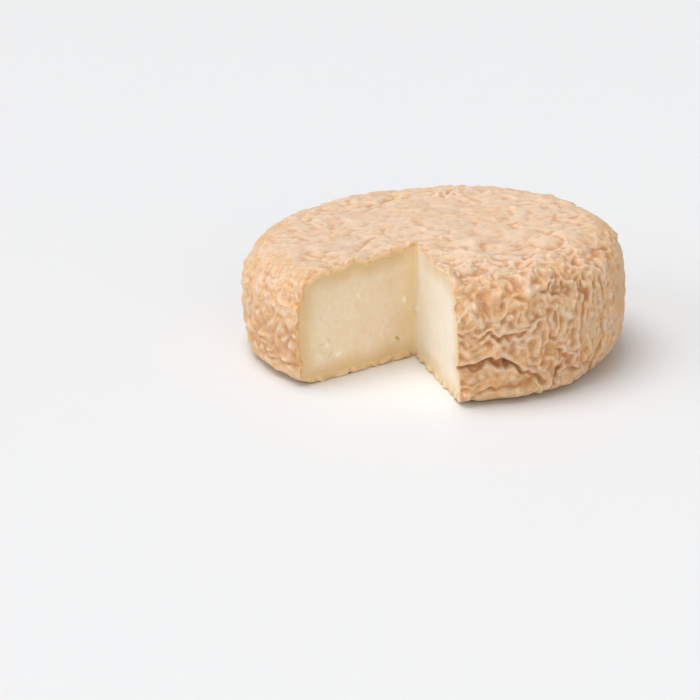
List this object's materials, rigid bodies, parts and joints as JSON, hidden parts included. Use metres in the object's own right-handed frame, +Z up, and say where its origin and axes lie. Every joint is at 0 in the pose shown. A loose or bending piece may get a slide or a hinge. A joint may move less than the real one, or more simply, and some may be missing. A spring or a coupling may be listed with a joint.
{
  "type": "cut cheese wheel",
  "caption": "Small round washed-rind cheese with a wrinkled tan rind and one wedge cut out, showing the pale firm paste.",
  "frame": {"origin": "where the wheel's axis meets the flat base that it stands on", "axes": "+Z up along the wheel's axis, -Y out through the middle of the missing wedge, +X to the right seen from the cut"},
  "size_m": [0.1163, 0.1114, 0.0371],
  "materials": {
    "cheese": "dull wrinkled rind, tan with paler crests, and smooth cream paste on the two cut faces"
  },
  "bodies": {
    "root": {"cheese_wheel": "cheese"}
  },
  "joints": []
}
